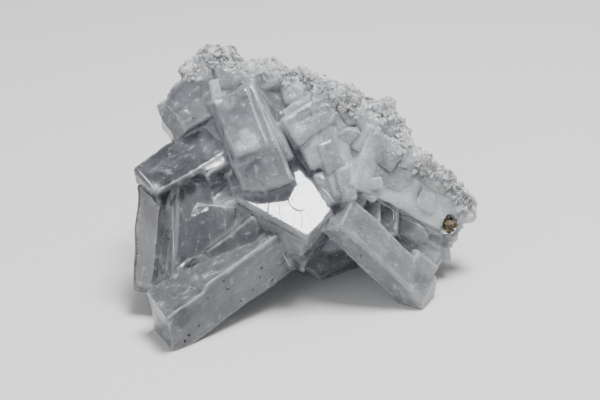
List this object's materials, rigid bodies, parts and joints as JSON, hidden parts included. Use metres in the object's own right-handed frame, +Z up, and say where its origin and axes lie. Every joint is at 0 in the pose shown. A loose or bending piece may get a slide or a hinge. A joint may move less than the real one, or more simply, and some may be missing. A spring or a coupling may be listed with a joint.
{
  "type": "barite specimen",
  "caption": "Free-standing mineral specimen: blocky translucent blue-grey barite crystals intergrown on a broken mass, resting on its back foot and two arms.",
  "frame": {"origin": "bottom centre of the specimen, on the surface that it rests on", "axes": "+X along the longest way, to the right as the show side is seen; +Z up; the show side faces -Y"},
  "size_m": [0.0696, 0.0546, 0.0482],
  "materials": {
    "barite": "translucent milky blue-grey crystal, vitreous faces, frosted broken rim",
    "iron_oxide": "earthy dull brown grain, and fine dark specks of the same"
  },
  "bodies": {
    "root": {"barite_crystals": "barite", "iron_oxide_grain": "iron_oxide"}
  },
  "joints": []
}
